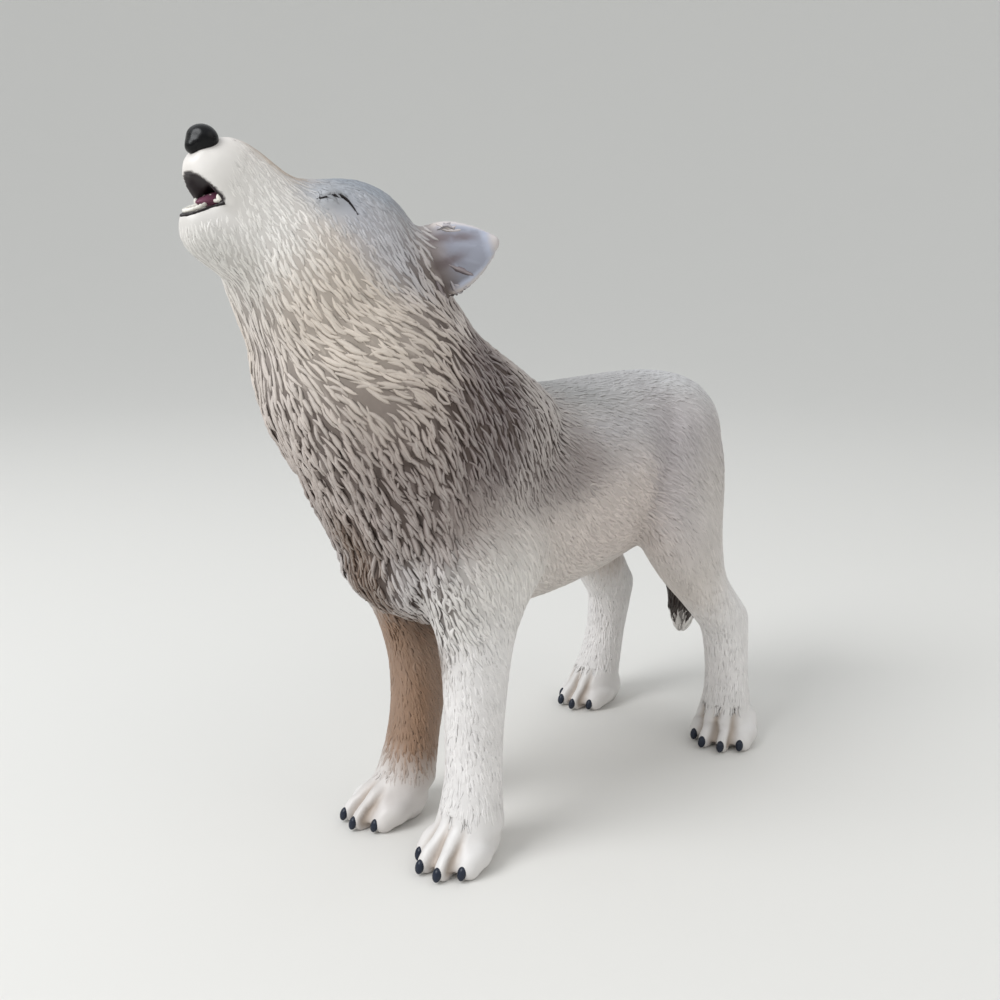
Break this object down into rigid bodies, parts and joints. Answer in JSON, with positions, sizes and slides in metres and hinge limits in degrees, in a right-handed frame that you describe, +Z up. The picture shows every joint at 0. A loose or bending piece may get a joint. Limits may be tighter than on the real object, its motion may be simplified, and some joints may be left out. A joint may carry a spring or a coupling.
{
  "type": "wolf figurine",
  "caption": "One-piece moulded toy wolf standing on four paws with its head raised in a howl, carved fur, painted grey and cream.",
  "frame": {"origin": "middle of the figure's box, on the ground that its four paws stand on", "axes": "+Z up, the wolf faces -Y, its left side is +X"},
  "size_m": [0.0356, 0.0954, 0.0849],
  "materials": {
    "painted_vinyl": "satin hand-painted vinyl, grey-brown and cream fur with a gloss black nose and claws"
  },
  "bodies": {
    "root": {"wolf_figure": "painted_vinyl"}
  },
  "joints": []
}
